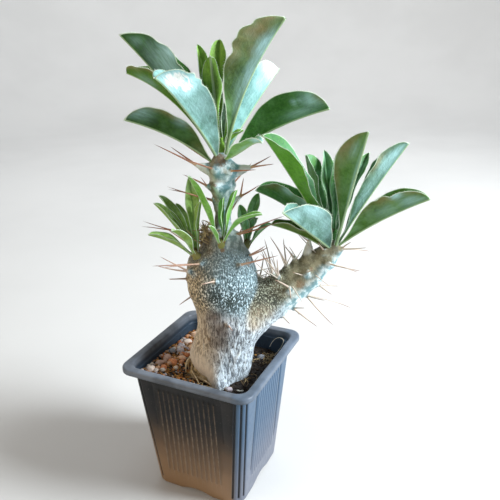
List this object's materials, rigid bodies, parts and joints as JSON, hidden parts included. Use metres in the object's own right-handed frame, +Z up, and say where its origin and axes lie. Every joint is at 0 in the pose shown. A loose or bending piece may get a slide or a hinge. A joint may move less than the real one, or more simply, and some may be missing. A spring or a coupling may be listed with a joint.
{
  "type": "potted kudu lily",
  "caption": "Young caudex plant with a swollen grey trunk, one side branch, paired spines and heads of folded leaves, in a square ribbed nursery pot of gritty soil.",
  "frame": {"origin": "middle of the pot's flat underside", "axes": "+Z up; X and Y along the pot's sides; the picture looks mostly along +Y, with +X to its right"},
  "size_m": [0.1861, 0.1362, 0.294],
  "materials": {
    "pot": "satin black moulded plastic",
    "soil": "rough gritty soil",
    "bark": "grey-green netted bark",
    "leaf": "satin leaf with a pale felted margin",
    "young_leaf": "satin young leaf",
    "stone_tan": "matt",
    "stone_peach": "matt",
    "stone_terracotta": "matt",
    "stone_grey": "matt",
    "stone_pale": "matt"
  },
  "bodies": {
    "root": {"pot": "pot", "soil": "soil", "pebble_01": "stone_tan", "pebble_02": "stone_peach", "pebble_03": "stone_terracotta", "pebble_04": "stone_grey", "pebble_05": "stone_pale", "pebble_06": "stone_tan", "pebble_07": "stone_peach", "pebble_08": "stone_terracotta", "pebble_09": "stone_grey", "pebble_10": "stone_pale", "pebble_11": "stone_tan", "pebble_12": "stone_peach", "pebble_13": "stone_terracotta", "pebble_14": "stone_grey", "caudex": "bark", "top_leaf_01": "leaf", "top_leaf_02": "leaf", "top_leaf_03": "leaf", "top_leaf_04": "leaf", "top_leaf_05": "leaf", "top_leaf_06": "leaf", "top_leaf_07": "leaf", "top_leaf_08": "leaf", "top_leaf_09": "leaf", "top_bud": "young_leaf", "branch_leaf_01": "leaf", "branch_leaf_02": "leaf", "branch_leaf_03": "leaf", "branch_leaf_04": "leaf", "branch_leaf_05": "leaf", "branch_leaf_06": "leaf", "branch_leaf_07": "leaf", "branch_leaf_08": "leaf", "branch_bud": "young_leaf", "left_shoot": "young_leaf", "centre_shoot": "young_leaf", "back_shoot": "young_leaf"}
  },
  "joints": []
}
